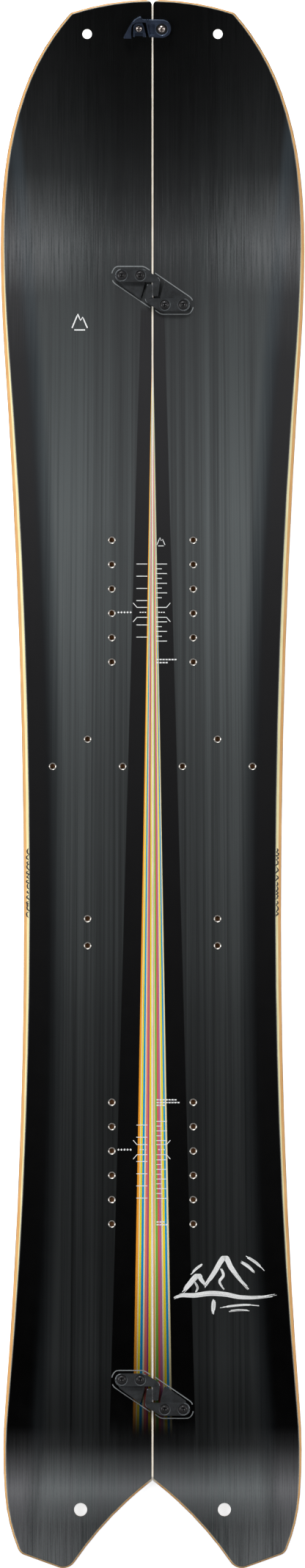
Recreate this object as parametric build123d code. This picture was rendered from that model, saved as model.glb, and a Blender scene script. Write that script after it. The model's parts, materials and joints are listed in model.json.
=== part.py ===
from build123d import *
import math
import os

# Splitboard: a snowboard sawn lengthwise into two halves that clip together, or come apart as touring skis.
# Millimetres. X runs across the board, +Y points to the nose, +Z is up, and the origin is on the ground
# under the middle of the board. The right half is modelled; the left half is its mirror image.

# Plan shape
WAIST_HALF_WIDTH = 134.2
WAIST_Y = -142.0
NOSE_SIDECUT_RADIUS = 8600.0
TAIL_SIDECUT_RADIUS = 6530.0
NOSE_SIDECUT_END_Y = 450.0
TAIL_SIDECUT_END_Y = -650.0
NOSE_TIP_Y = 815.0
NOSE_TIP_RADIUS = 280.0
NOSE_CORNER_X = 85.0
NOSE_SIDE_POINTS = ((158.6, 560.0), (153.95, 640.0), (134.9, 720.0))
TAIL_SIDE_POINTS = ((153.98, -739.3), (138.3, -800.0))
LOBE_CORNER = (87.3, -818.2)
NOTCH_MIDDLE = (39.9, -759.8)
NOTCH_TOP_Y = -725.0
NOSE_CORNER_FILLET = 8.0
TAIL_CORNER_FILLET = 11.0
LOBE_FILLET = 15.0
SEAM_NOSE_FILLET = 7.3
SEAM_NOTCH_FILLET = 2.5
SEAM_CLEARANCE = 0.15
NOTCH_SLOPE = 0.95

# Side view of the running surface
CAMBER = 5.0
CAMBER_TOP_Y = -60.0
NOSE_CONTACT_Y = 520.0
TAIL_CONTACT_Y = -640.0
NOSE_KICK = 58.0
TAIL_KICK = 24.0
KICK_END_Y = 815.0

# Layers, measured upwards from the running surface
BASE_THICKNESS = 1.3
EDGE_HEIGHT = 2.0
EDGE_WIDTH = 2.0
EDGE_FLANGE_INSET = 6.0
EDGE_SPLIT_MARGIN = 0.5
OUTER_WALL_HEIGHT = 2.9
LAMINATE_THICKNESS = 0.7
TOPSHEET_THICKNESS = 0.6
SIDEWALL_WIDTH = 10.0
SEAM_LIP_WIDTH = 0.8
BEVEL = 7.1
BEVEL_LEDGE = 0.2
# core thickness at stations along the board
CORE_PROFILE = ((-840.0, 1.0), (-673.0, 2.0), (-482.0, 4.0), (-162.0, 5.1), (52.0, 5.5),
                (281.0, 5.3), (433.0, 4.35), (555.0, 3.3), (690.0, 2.1), (840.0, 1.0))
CORE_PROFILE_STEPS = 40
# the base, core and walls are built in lengths, cut across at these places, so that no length bends far
LENGTH_CUTS = (-700.0, -560.0, -290.0, -20.0, 90.0, 330.0, 570.0, 665.0, 760.0)

# Inserts: stainless M6 barrels with a flange under the core
INSERT_RADIUS = 3.9
INSERT_BORE_RADIUS = 2.5
INSERT_CONE_RADIUS = 3.5
INSERT_CONE_DEPTH = 1.0
INSERT_SEAT_GAP = 0.2
INSERT_TOP_RECESS = 0.25
FLANGE_RADIUS = 7.0
FLANGE_THICKNESS = 1.0
FLANGE_SEAM_GAP = 1.5
INSERT_PITCH = 25.4
INSERT_X = 42.5
INSERTS_PER_ROW = 6
FRONT_ROW_Y = 191.7
REAR_ROW_Y = -394.1
TOE_INSERTS = ((31.2, 19.4), (104.3, 19.4), (67.8, 47.8))
HEEL_INSERTS = ((67.8, -139.3), (67.8, -167.4))
NOSE_HOLE = (68.0, 780.2)
NOSE_HOLE_RADIUS = 5.0
TAIL_HOLE = (75.0, -755.0)
TAIL_HOLE_RADIUS = 6.8

# Hooks across the seam
FRONT_HOOK_Y = 515.7
REAR_HOOK_Y = -635.4
# plan of the left hook from the middle of its pair: the screw bar with the finger, and the thin web beside it
HOOK_BAR = ((-39.2, 21.9), (-8.5, 21.9), (8.2, 12.0), (5.9, -6.1), (SEAM_CLEARANCE, -6.1),
            (SEAM_CLEARANCE, 8.6), (-39.2, 8.6))
HOOK_BAR_END_FILLET = 6.6
HOOK_BAR_FILLETS = (((-8.5, 21.9), 9.0), ((8.2, 12.0), 5.0), ((5.9, -6.1), 1.5))
HOOK_WEB = ((-35.5, 9.5), (-8.3, 9.5), (-8.1, 6.3), (-12.4, -8.4), (-14.0, -8.4), (-34.5, 6.5))
HOOK_WEB_FILLET = 0.8
HOOK_HEIGHT = 5.0
HOOK_WEB_HEIGHT = 2.2
HOOK_CHAMFER = 0.9
HOOK_LIFT = 0.8
HOOK_SEAT_GAP = 0.02
HOOK_TRIM_DEPTH = 20.0
HOOK_SCREWS = ((-32.1, 15.4), (-12.8, 15.4))
SCREW_HEAD_RADIUS = 5.4
SCREW_SHANK_RADIUS = 2.9
SCREW_CONE_DEPTH = 3.0
SCREW_SINK = 0.3
SCREW_PLAY = 0.1
SOCKET_FLAT = 3.4
SOCKET_DEPTH = 2.4
NUT_FLOOR = 1.7

# Nose clip
CLIP_Y = 786.1
CLIP_PIVOT_X = 9.6
CLIP_CATCH_X = -14.2
CLIP_THICKNESS = 4.0
CLIP_LIFT = 1.2
CLIP_SEAT_GAP = 0.1
# plan of the hook from the middle of its pivot line: its corners, in turn, and those that are rounded
CLIP_ARM = ((CLIP_PIVOT_X, 9.6), (-10.0, 10.1), (-12.6, 13.4), (-19.6, 9.3), (-24.6, 1.4), (-30.3, -9.7),
            (-22.0, -9.9), (-22.3, -4.4), (-21.9, 3.4), (-19.6, 6.6), (-15.5, 7.6), (-6.9, 7.5),
            (-4.6, -4.4), (-3.6, -8.3), (CLIP_PIVOT_X, -8.8), (CLIP_PIVOT_X, 0.0))
CLIP_ARM_FILLETS = (((-24.6, 1.4), 9.0), ((-19.6, 9.3), 6.0), ((-12.6, 13.4), 1.0), ((-19.6, 6.6), 3.0))
CLIP_CHAMFER = 0.5
CLIP_POCKET = ((-5.2, 5.6), (2.4, 5.6), (2.2, -6.2), (-3.0, -6.2))
CLIP_POCKET_FILLET = 0.6
CLIP_POCKET_DEPTH = 1.4
THUMB_GROOVES = 4
THUMB_GROOVE_START = (-11.0, 12.4)
THUMB_GROOVE_STEP = (2.1, -0.75)
THUMB_GROOVE_TURN = -35.0
THUMB_GROOVE_SIZE = (0.8, 2.6)
CATCH_PLATE = ((-6.4, -8.4), (-9.0, 3.0), (-10.8, 6.3), (-17.4, 6.3), (-19.9, 3.0), (-20.3, -8.4))
CATCH_FILLET = 0.9
CATCH_POCKET_DEPTH = 1.6
CATCH_POCKET_RADIUS = 4.3
CATCH_POCKET_REACH = 12.0
CLIP_RING_RADIUS = 9.6
CLIP_RECESS_RADIUS = 6.3
CLIP_RECESS_DEPTH = 1.5
CLIP_BORE_RADIUS = 3.55
BUSH_RADIUS = 3.5
BUSH_FLANGE_RADIUS = 6.0
BUSH_PLAY = 0.3
CLIP_SCREW_RADIUS = 3.9
CLIP_SCREW_DOME = 2.2
CLIP_SHANK_RADIUS = 2.0
CLIP_NUT_RADIUS = 3.2
CLIP_NUT_DEPTH = 2.5
CLIP_NUT_SINK = 0.4
CLIP_NUT_FLOOR = 0.3
CROSS_WIDTH = 1.0
CROSS_LENGTH = 4.4
CROSS_DEPTH = 1.2

# sizes of the tool solids that cut the real ones
BIG = 1000.0
TOOL_WIDTH = 200.0
TOOL_HEIGHT = 200.0
TOOL_FLOOR = -50.0
OVERCUT = 5.0


def arc_chain(start, direction, points):
    """Arcs that each start where the last one ended, in the same direction."""
    arcs = []
    heading = Vector(*direction)
    here = Vector(*start)
    for point in points:
        there = Vector(*point)
        arc = TangentArc(here, there, tangent=heading)
        arcs.append(arc)
        heading = arc % 1
        here = there
    return arcs


def sidecut_x(y, radius):
    return WAIST_HALF_WIDTH + radius - math.sqrt(radius ** 2 - (y - WAIST_Y) ** 2)


def nose_tip_y(x):
    return NOSE_TIP_Y - NOSE_TIP_RADIUS + math.sqrt(NOSE_TIP_RADIUS ** 2 - x ** 2)


def side_arcs():
    """The sidecut and the round shoulders of the outer side, from the nose corner to the tail corner."""
    nose_end = (NOSE_CORNER_X, nose_tip_y(NOSE_CORNER_X))
    waist = (WAIST_HALF_WIDTH, WAIST_Y)
    nose_cut = (sidecut_x(NOSE_SIDECUT_END_Y, NOSE_SIDECUT_RADIUS), NOSE_SIDECUT_END_Y)
    tail_cut = (sidecut_x(TAIL_SIDECUT_END_Y, TAIL_SIDECUT_RADIUS), TAIL_SIDECUT_END_Y)
    forward = arc_chain(waist, (0, 1), [nose_cut, *NOSE_SIDE_POINTS, nose_end])
    backward = arc_chain(waist, (0, -1), [tail_cut, *TAIL_SIDE_POINTS])
    return forward + backward


def half_outline(inner_x, seam_fillets):
    """Plan of the right half, from its outer side to a straight wall at inner_x."""
    nose_end = (NOSE_CORNER_X, nose_tip_y(NOSE_CORNER_X))
    nose_middle_x = (NOSE_CORNER_X + inner_x) / 2
    tip = ThreePointArc(nose_end, (nose_middle_x, nose_tip_y(nose_middle_x)), (inner_x, nose_tip_y(inner_x)))
    notch_top = (inner_x, NOTCH_TOP_Y - NOTCH_SLOPE * min(inner_x, 0))
    lobe = Line(TAIL_SIDE_POINTS[-1], LOBE_CORNER)
    notch = ThreePointArc(LOBE_CORNER, NOTCH_MIDDLE, (SEAM_CLEARANCE, NOTCH_TOP_Y))
    edges = side_arcs() + [tip, lobe, notch]
    if inner_x < 0:
        edges.append(Line((SEAM_CLEARANCE, NOTCH_TOP_Y), notch_top))
    edges.append(Line(notch_top, (inner_x, nose_tip_y(inner_x))))
    face = make_face(edges)
    face = fillet(corner(face, *nose_end), NOSE_CORNER_FILLET)
    face = fillet(corner(face, *TAIL_SIDE_POINTS[-1]), TAIL_CORNER_FILLET)
    face = fillet(corner(face, *LOBE_CORNER), LOBE_FILLET)
    if seam_fillets:
        face = fillet(corner(face, inner_x, nose_tip_y(inner_x)), SEAM_NOSE_FILLET)
        face = fillet(corner(face, inner_x, NOTCH_TOP_Y), SEAM_NOTCH_FILLET)
    return face


def corner(face, x, y):
    return face.vertices().sort_by_distance((x, y, 0))[0]


def bottom_arcs(rise):
    """The running surface seen from the side: camber between the contact points, then the two kicks."""
    middle_nose = (CAMBER_TOP_Y + NOSE_CONTACT_Y) / 2
    middle_tail = (CAMBER_TOP_Y + TAIL_CONTACT_Y) / 2
    top = (CAMBER_TOP_Y, CAMBER + rise)
    nose = arc_chain(top, (1, 0), [(middle_nose, CAMBER / 2 + rise), (NOSE_CONTACT_Y, rise),
                                   (KICK_END_Y, NOSE_KICK + rise)])
    tail = arc_chain(top, (-1, 0), [(middle_tail, CAMBER / 2 + rise), (TAIL_CONTACT_Y, rise),
                                    (-KICK_END_Y, TAIL_KICK + rise)])
    return tail, nose


def bottom_height(y):
    """Height of the running surface at y."""
    if y >= CAMBER_TOP_Y:
        contact, kick, sign = NOSE_CONTACT_Y, NOSE_KICK, 1
    else:
        contact, kick, sign = TAIL_CONTACT_Y, TAIL_KICK, -1
    span = abs(contact - CAMBER_TOP_Y) / 2
    s_radius = (span ** 2 + (CAMBER / 2) ** 2) / CAMBER
    along = abs(y - CAMBER_TOP_Y)
    beyond = sign * (y - contact)
    if beyond > 0:
        kick_span = KICK_END_Y - abs(contact)
        kick_radius = (kick_span ** 2 + kick ** 2) / (2 * kick)
        return kick_radius - math.sqrt(kick_radius ** 2 - beyond ** 2)
    if along <= span:
        return CAMBER - s_radius + math.sqrt(s_radius ** 2 - along ** 2)
    return s_radius - math.sqrt(s_radius ** 2 - beyond ** 2)


def core_height(y):
    """Thickness of the core at y, by straight lines between the stations."""
    for (y0, t0), (y1, t1) in zip(CORE_PROFILE, CORE_PROFILE[1:]):
        if y0 <= y <= y1:
            return t0 + (t1 - t0) * (y - y0) / (y1 - y0)
    raise ValueError(y)


def top_height(y):
    """Height of the topsheet's surface at y."""
    return bottom_height(y) + EDGE_HEIGHT + core_height(y) + LAMINATE_THICKNESS + TOPSHEET_THICKNESS


def extended(arcs):
    """The arcs and a straight run-out past the tip."""
    end = arcs[-1] @ 1
    heading = arcs[-1] % 1
    reach = 30.0
    return arcs + [Line(end, end + heading * reach)]


def parallel_profile(rise):
    """Side-view edges parallel to the running surface."""
    tail, nose = bottom_arcs(rise)
    return extended(tail) + extended(nose)


def core_top_profile(rise):
    """Side-view edges along the top of the core, raised by rise."""
    first = CORE_PROFILE[0][0]
    step = (CORE_PROFILE[-1][0] - first) / CORE_PROFILE_STEPS
    stations = [first + i * step for i in range(CORE_PROFILE_STEPS + 1)]
    return [Spline(*[(y, bottom_height(y) + EDGE_HEIGHT + core_height(y) + rise) for y in stations])]


def slab(lower, upper):
    """Solid between two side-view profiles, wide enough for the whole board."""
    low = Curve() + lower
    high = Curve() + upper
    ends_low = low.vertices().sort_by(Axis.X)
    ends_high = high.vertices().sort_by(Axis.X)
    joins = [Line(ends_low[0].center(), ends_high[0].center()), Line(ends_low[-1].center(), ends_high[-1].center())]
    face = make_face(lower + upper + joins)
    side = Plane(origin=(0, 0, 0), x_dir=(0, 1, 0), z_dir=(1, 0, 0))
    return extrude(side * face, amount=TOOL_WIDTH, both=True)


def prism(face):
    return extrude(Pos(0, 0, TOOL_FLOOR) * face, amount=TOOL_HEIGHT)


def right_of(x):
    """Everything on the far side of a wall at x."""
    return Pos(x + BIG / 2, 0, 0) * Box(BIG, 2 * BIG, 2 * BIG)


def bevelled_blank(outline):
    """The half board above its steel edge, with the outer side sloping in at 45 degrees over a narrow ledge."""
    past_the_seam = -30.0
    below_the_edge = -3.0
    wide = half_outline(past_the_seam, False)
    block_top = EDGE_HEIGHT + BEVEL - BEVEL_LEDGE
    block = prism(wide) & slab(parallel_profile(below_the_edge), parallel_profile(block_top))
    facing_up, touching = 0.5, 0.01
    rim = [edge for face in block.faces() if face.normal_at().Z > facing_up for edge in face.edges()]
    outer = []
    for edge in rim:
        middle = edge @ 0.5
        shared = sum(1 for other in rim if (other @ 0.5 - middle).length < touching)
        if shared == 1 and middle.X > past_the_seam + touching:
            outer.append(edge)
    return chamfer(outer, BEVEL) & prism(outline)


def half_layers():
    """Every layer of the right half, before the inserts and holes are cut."""
    outline = half_outline(SEAM_CLEARANCE, True)
    blank = bevelled_blank(outline)
    inside_edge = prism(offset(outline, -EDGE_WIDTH))
    inside_flange = prism(offset(outline, -EDGE_FLANGE_INSET))
    inside_walls = prism(offset(outline, -SIDEWALL_WIDTH))
    full = prism(outline)
    seam_wall_end = SEAM_CLEARANCE + SIDEWALL_WIDTH
    seam_edge_end = SEAM_CLEARANCE + EDGE_FLANGE_INSET + EDGE_SPLIT_MARGIN
    lip_end = SEAM_CLEARANCE + SEAM_LIP_WIDTH

    edge_ring = (full - inside_edge) & slab(parallel_profile(0), parallel_profile(EDGE_HEIGHT))
    edge_ring += (full - inside_flange) & slab(parallel_profile(BASE_THICKNESS), parallel_profile(EDGE_HEIGHT))
    core_space = slab(parallel_profile(EDGE_HEIGHT), core_top_profile(0))
    low_space = slab(parallel_profile(EDGE_HEIGHT), parallel_profile(EDGE_HEIGHT + OUTER_WALL_HEIGHT))
    walls = (blank - inside_walls) & core_space
    outer_walls = walls & right_of(seam_wall_end)
    skins = slab(core_top_profile(0), core_top_profile(LAMINATE_THICKNESS + TOPSHEET_THICKNESS))
    laminate_space = slab(core_top_profile(0), core_top_profile(LAMINATE_THICKNESS))

    layers = {}
    layers["base"] = inside_edge & slab(parallel_profile(0), parallel_profile(BASE_THICKNESS))
    layers["outer_edge"] = edge_ring & right_of(seam_edge_end)
    layers["inner_edge"] = edge_ring - right_of(seam_edge_end)
    layers["lower_laminate"] = inside_flange & slab(parallel_profile(BASE_THICKNESS), parallel_profile(EDGE_HEIGHT))
    layers["core"] = inside_walls & core_space
    layers["lower_sidewall"] = outer_walls & low_space
    layers["upper_sidewall"] = outer_walls - low_space
    layers["seam_sidewall"] = (walls - right_of(seam_wall_end)) + ((blank & skins) - right_of(lip_end))
    skin_blank = blank & skins & right_of(lip_end)
    layers["upper_laminate"] = skin_blank & laminate_space
    layers["topsheet"] = skin_blank - laminate_space
    return layers


def cylinder_between(x, y, low, high, radius):
    return Pos(x, y, (low + high) / 2) * Cylinder(radius, high - low)


def insert_solid(x, y):
    """Flanged stainless barrel with a tapped bore, blind at the bottom, and a coned mouth."""
    low = bottom_height(y) + EDGE_HEIGHT + INSERT_SEAT_GAP
    high = top_height(y) - INSERT_TOP_RECESS
    body = cylinder_between(x, y, low, low + FLANGE_THICKNESS, flange_radius(x))
    body += cylinder_between(x, y, low, high, INSERT_RADIUS)
    body -= cylinder_between(x, y, low + FLANGE_THICKNESS, high, INSERT_BORE_RADIUS)
    mouth = Pos(x, y, high - INSERT_CONE_DEPTH / 2) * Cone(INSERT_BORE_RADIUS, INSERT_CONE_RADIUS, INSERT_CONE_DEPTH)
    return body - mouth


def insert_cutter(x, y):
    low = bottom_height(y) + EDGE_HEIGHT
    high = top_height(y) + OVERCUT
    flange = cylinder_between(x, y, low, low + INSERT_SEAT_GAP + FLANGE_THICKNESS, flange_radius(x))
    return flange + cylinder_between(x, y, low, high, INSERT_RADIUS)


def flange_radius(x):
    """Flange size; the nuts beside the seam have a smaller one."""
    return min(FLANGE_RADIUS, abs(x) - SEAM_CLEARANCE - FLANGE_SEAM_GAP)


def binding_rows():
    """Places of the binding inserts of the right half, front row and rear row."""
    middle = (INSERTS_PER_ROW - 1) / 2
    front = [(INSERT_X, FRONT_ROW_Y + (middle - i) * INSERT_PITCH) for i in range(INSERTS_PER_ROW)]
    rear = [(INSERT_X, REAR_ROW_Y + (middle - i) * INSERT_PITCH) for i in range(INSERTS_PER_ROW)]
    return front, rear


def hook_screw_places(side, centre_y):
    """The two screws of a hook: the right hook is the left one turned half round about the pair's middle."""
    turn = 1 if side == "left" else -1
    return [(turn * x, centre_y + turn * y) for x, y in HOOK_SCREWS]


def hook_solid(side, centre_y):
    """Screw bar on its own half, a thin web beside it, and a finger that reaches over the seam."""
    bar_face = make_face(Polyline(*HOOK_BAR, close=True))
    bar_face = fillet(bar_face.vertices().group_by(Axis.X)[0], HOOK_BAR_END_FILLET)
    for place, radius in HOOK_BAR_FILLETS:
        bar_face = fillet(corner(bar_face, *place), radius)
    web_face = fillet(make_face(Polyline(*HOOK_WEB, close=True)).vertices(), HOOK_WEB_FILLET)
    sunk = 3.0
    seat = top_height(centre_y)
    body = extrude(Pos(0, 0, -sunk) * bar_face, amount=HOOK_HEIGHT + sunk)
    top_edges = body.faces().sort_by(Axis.Z)[-1].edges()
    body = chamfer(top_edges, HOOK_CHAMFER)
    body += extrude(Pos(0, 0, -sunk) * web_face, amount=HOOK_WEB_HEIGHT + sunk)
    for x, y in HOOK_SCREWS:
        body -= Pos(x, y, 0) * Cylinder(SCREW_SHANK_RADIUS, 4 * HOOK_HEIGHT)
        cone_top = HOOK_HEIGHT - SCREW_SINK
        body -= Pos(x, y, cone_top - SCREW_CONE_DEPTH / 2) * Cone(SCREW_SHANK_RADIUS, SCREW_HEAD_RADIUS,
                                                                   SCREW_CONE_DEPTH)
        body -= cylinder_between(x, y, cone_top, cone_top + OVERCUT, SCREW_HEAD_RADIUS)
    if side == "right":
        body = Rot(0, 0, 180) * body
    body = Pos(0, centre_y, seat) * body
    skins = LAMINATE_THICKNESS + TOPSHEET_THICKNESS
    underground = parallel_profile(-HOOK_TRIM_DEPTH)
    body -= slab(underground, core_top_profile(skins + HOOK_SEAT_GAP))
    lifted = slab(underground, core_top_profile(skins + HOOK_LIFT))
    other_half = right_of(-SEAM_CLEARANCE)
    if side == "right":
        other_half = Rot(0, 0, 180) * other_half
    return body - (lifted & other_half)


def hook_screw_solid(x, y, centre_y):
    """Black countersunk screw with a hexagon socket."""
    head_top = top_height(centre_y) + HOOK_HEIGHT - SCREW_SINK - SCREW_PLAY
    low = bottom_height(y) + EDGE_HEIGHT + NUT_FLOOR
    body = cylinder_between(x, y, low, head_top, INSERT_BORE_RADIUS)
    body += Pos(x, y, head_top - SCREW_CONE_DEPTH / 2) * Cone(SCREW_SHANK_RADIUS - SCREW_PLAY,
                                                              SCREW_HEAD_RADIUS - SCREW_PLAY, SCREW_CONE_DEPTH)
    socket = Plane(origin=(x, y, head_top)) * RegularPolygon(SOCKET_FLAT / math.sqrt(3), 6)
    return body - extrude(socket, amount=-SOCKET_DEPTH)


def clip_plane():
    """Plane just above the topsheet under the nose clip; its own X runs across and Y up the nose."""
    slope = top_height(CLIP_Y + 0.5) - top_height(CLIP_Y - 0.5)
    seat = top_height(CLIP_Y) + CLIP_SEAT_GAP
    return Plane(origin=(0, CLIP_Y, seat), x_dir=(1, 0, 0), z_dir=(0, -slope, 1))


def clip_post(x, low, high, radius):
    return Pos(x, 0, (low + high) / 2) * Cylinder(radius, high - low)


def clip_hook_solid():
    """Flat hook that turns on the right half's post and reaches round the left half's catch."""
    pivot = CLIP_PIVOT_X
    plate = make_face(Polyline(*CLIP_ARM, close=True))
    for place, radius in CLIP_ARM_FILLETS:
        plate = fillet(corner(plate, *place), radius)
    plate += Pos(pivot, 0, 0) * Circle(CLIP_RING_RADIUS)
    body = extrude(plate, amount=CLIP_THICKNESS)
    body = chamfer(body.faces().sort_by(Axis.Z)[-1].edges(), CLIP_CHAMFER)
    above = CLIP_THICKNESS + OVERCUT
    body -= clip_post(pivot, CLIP_THICKNESS - CLIP_RECESS_DEPTH, above, CLIP_RECESS_RADIUS)
    body -= clip_post(pivot, -OVERCUT, above, CLIP_BORE_RADIUS)
    pocket = make_face(Polyline(*CLIP_POCKET, close=True))
    pocket = fillet(pocket.vertices(), CLIP_POCKET_FILLET)
    body -= Pos(0, 0, CLIP_THICKNESS - CLIP_POCKET_DEPTH) * extrude(pocket, amount=OVERCUT)
    for i in range(THUMB_GROOVES):
        x, y = [start + i * step for start, step in zip(THUMB_GROOVE_START, THUMB_GROOVE_STEP)]
        body -= Pos(x, y, 0) * Rot(0, 0, THUMB_GROOVE_TURN) * Box(*THUMB_GROOVE_SIZE, 4 * CLIP_THICKNESS)
    return body


def clip_catch_solid():
    """Plate screwed to the left half, with a pocket for its screw that opens towards the tail."""
    x = CLIP_CATCH_X
    plate = make_face(Polyline(*CATCH_PLATE, close=True))
    body = extrude(fillet(plate.vertices(), CATCH_FILLET), amount=CLIP_THICKNESS)
    pocket_floor = CLIP_THICKNESS - CATCH_POCKET_DEPTH
    body -= clip_post(x, pocket_floor, pocket_floor + OVERCUT, CATCH_POCKET_RADIUS)
    pocket_mouth = Box(2 * CATCH_POCKET_RADIUS, CATCH_POCKET_REACH, OVERCUT)
    body -= Pos(x, -CATCH_POCKET_REACH / 2, pocket_floor + OVERCUT / 2) * pocket_mouth
    return body - clip_post(x, -OVERCUT, OVERCUT, CLIP_SHANK_RADIUS)


def clip_screw_solid(x, seat):
    """Stainless pan-head screw with a cross recess, its head resting at height seat above the topsheet."""
    dome_radius = (CLIP_SCREW_RADIUS ** 2 + CLIP_SCREW_DOME ** 2) / (2 * CLIP_SCREW_DOME)
    crown = seat + CLIP_SCREW_DOME
    ball = Pos(x, 0, crown - dome_radius) * Sphere(dome_radius)
    head = ball & clip_post(x, seat, crown, CLIP_SCREW_RADIUS)
    cross = Box(CROSS_WIDTH, CROSS_LENGTH, OVERCUT) + Box(CROSS_LENGTH, CROSS_WIDTH, OVERCUT)
    head -= Pos(x, 0, crown - CROSS_DEPTH + OVERCUT / 2) * cross
    return head + clip_post(x, CLIP_NUT_FLOOR - CLIP_NUT_DEPTH, seat, CLIP_SHANK_RADIUS)


def clip_nut_solid(x):
    """Barrel nut let into the core under a clip screw."""
    barrel = clip_post(x, -CLIP_NUT_DEPTH, -CLIP_NUT_SINK, CLIP_NUT_RADIUS)
    return barrel - clip_post(x, CLIP_NUT_FLOOR - CLIP_NUT_DEPTH, 0, CLIP_SHANK_RADIUS)


def clip_bush_height():
    """Top of the bush above its seat: it stands a little proud of the floor of the clip's recess."""
    return CLIP_LIFT + CLIP_THICKNESS - CLIP_RECESS_DEPTH + BUSH_PLAY


def clip_bush_solid():
    """Flanged bush that the clip turns on and that holds it clear of the topsheet."""
    bush = clip_post(CLIP_PIVOT_X, 0, CLIP_LIFT - BUSH_PLAY, BUSH_FLANGE_RADIUS)
    bush += clip_post(CLIP_PIVOT_X, 0, clip_bush_height(), BUSH_RADIUS)
    return bush - clip_post(CLIP_PIVOT_X, -OVERCUT, clip_bush_height() + OVERCUT, CLIP_SHANK_RADIUS)


def tip_hole(place, radius):
    x, y = place
    return Pos(x, y, 0) * Cylinder(radius, 2 * TOOL_HEIGHT)


def in_lengths(layer):
    """A layer divided across the board into lengths that touch face to face."""
    ends = (-BIG, *LENGTH_CUTS, BIG)
    lengths = []
    for low, high in zip(ends, ends[1:]):
        band = Pos(0, (low + high) / 2, 0) * Box(BIG, high - low, BIG)
        lengths += (layer & band).solids()
    return Compound(lengths)


def cut_parts(layers, side, hardware_cutters):
    """The layers of one half with every hole and recess cut."""
    across = 1 if side == "right" else -1
    through = [tip_hole((across * NOSE_HOLE[0], NOSE_HOLE[1]), NOSE_HOLE_RADIUS),
               tip_hole((across * TAIL_HOLE[0], TAIL_HOLE[1]), TAIL_HOLE_RADIUS)]
    finished = {}
    for name, solid in layers.items():
        layer = solid if side == "right" else mirror(solid, about=Plane.YZ)
        for cutter in through:
            layer -= cutter
        if name in ("core", "seam_sidewall", "upper_laminate", "topsheet"):
            layer -= hardware_cutters
        if name in ("base", "core", "lower_sidewall", "seam_sidewall"):
            layer = in_lengths(layer)
        finished[name] = layer
    return finished


def half_parts(side, layers):
    """All parts that belong to one half."""
    across = 1 if side == "right" else -1
    front, rear = binding_rows()
    groups = {"front_binding_inserts": front, "rear_binding_inserts": rear,
              "toe_inserts": list(TOE_INSERTS), "heel_inserts": list(HEEL_INSERTS)}
    groups = {name: [(across * x, y) for x, y in places] for name, places in groups.items()}
    front_screws = hook_screw_places(side, FRONT_HOOK_Y)
    rear_screws = hook_screw_places(side, REAR_HOOK_Y)
    groups["hook_nuts"] = front_screws + rear_screws
    clip_x = CLIP_PIVOT_X if side == "right" else CLIP_CATCH_X
    nose = clip_plane().location

    cutters = [insert_cutter(x, y) for places in groups.values() for x, y in places]
    cutters.append(nose * clip_post(clip_x, -CLIP_NUT_DEPTH, OVERCUT, CLIP_NUT_RADIUS))
    parts = cut_parts(layers, side, cutters)
    for name, places in groups.items():
        parts[name] = Compound([insert_solid(x, y).solid() for x, y in places])
    parts["front_hook"] = hook_solid(side, FRONT_HOOK_Y)
    parts["rear_hook"] = hook_solid(side, REAR_HOOK_Y)
    parts["front_hook_screws"] = Compound([hook_screw_solid(x, y, FRONT_HOOK_Y).solid() for x, y in front_screws])
    parts["rear_hook_screws"] = Compound([hook_screw_solid(x, y, REAR_HOOK_Y).solid() for x, y in rear_screws])
    parts["clip_nut"] = nose * clip_nut_solid(clip_x)
    if side == "right":
        parts["clip_bush"] = nose * clip_bush_solid()
        parts["clip_screw"] = nose * clip_screw_solid(clip_x, clip_bush_height())
    else:
        parts["clip_catch"] = nose * clip_catch_solid()
        parts["clip_screw"] = nose * clip_screw_solid(clip_x, CLIP_THICKNESS - CATCH_POCKET_DEPTH)
    return parts


def build():
    os.makedirs("parts", exist_ok=True)
    layers = half_layers()
    for side in ("left", "right"):
        for name, solid in half_parts(side, layers).items():
            export_step(solid, f"parts/{side}_{name}.step")
    clip_hook = clip_plane().location * Pos(0, 0, CLIP_LIFT) * clip_hook_solid()
    export_step(clip_hook, "parts/nose_clip_hook.step")


build()
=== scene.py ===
import json
import math
import random

import bmesh
import bpy
from mathutils import Matrix, Vector
from mathutils.bvhtree import BVHTree


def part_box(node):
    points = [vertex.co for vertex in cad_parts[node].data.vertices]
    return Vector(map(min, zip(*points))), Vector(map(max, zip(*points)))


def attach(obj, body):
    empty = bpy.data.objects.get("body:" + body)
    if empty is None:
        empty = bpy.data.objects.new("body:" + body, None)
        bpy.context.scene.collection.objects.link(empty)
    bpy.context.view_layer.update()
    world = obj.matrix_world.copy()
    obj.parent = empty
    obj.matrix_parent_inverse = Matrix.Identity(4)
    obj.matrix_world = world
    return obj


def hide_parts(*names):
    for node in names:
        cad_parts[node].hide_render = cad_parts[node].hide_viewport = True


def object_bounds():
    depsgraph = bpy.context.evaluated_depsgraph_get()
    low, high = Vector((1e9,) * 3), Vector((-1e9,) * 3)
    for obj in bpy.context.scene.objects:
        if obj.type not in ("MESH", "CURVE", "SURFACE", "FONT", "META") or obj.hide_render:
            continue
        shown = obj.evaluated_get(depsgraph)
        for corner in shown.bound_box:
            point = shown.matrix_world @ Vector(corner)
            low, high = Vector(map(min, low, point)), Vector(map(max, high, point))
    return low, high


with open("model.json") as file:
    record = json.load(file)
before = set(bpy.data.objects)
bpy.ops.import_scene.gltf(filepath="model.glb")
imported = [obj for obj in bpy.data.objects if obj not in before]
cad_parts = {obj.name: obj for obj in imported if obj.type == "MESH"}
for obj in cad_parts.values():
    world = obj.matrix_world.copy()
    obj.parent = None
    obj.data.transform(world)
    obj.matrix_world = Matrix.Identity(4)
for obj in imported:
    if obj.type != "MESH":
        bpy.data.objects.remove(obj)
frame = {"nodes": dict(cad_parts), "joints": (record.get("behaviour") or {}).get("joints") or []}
nodes = frame["nodes"]
cad_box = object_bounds()

# ------------------------------------------------
# Running base. A sheet of black sintered polyethylene under each half, 1.3 mm thick and let in between the
# steel edges. A stone has ground a fine straight structure into it along the board, and wax leaves it
# slightly glossy.
# ------------------------------------------------


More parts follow.
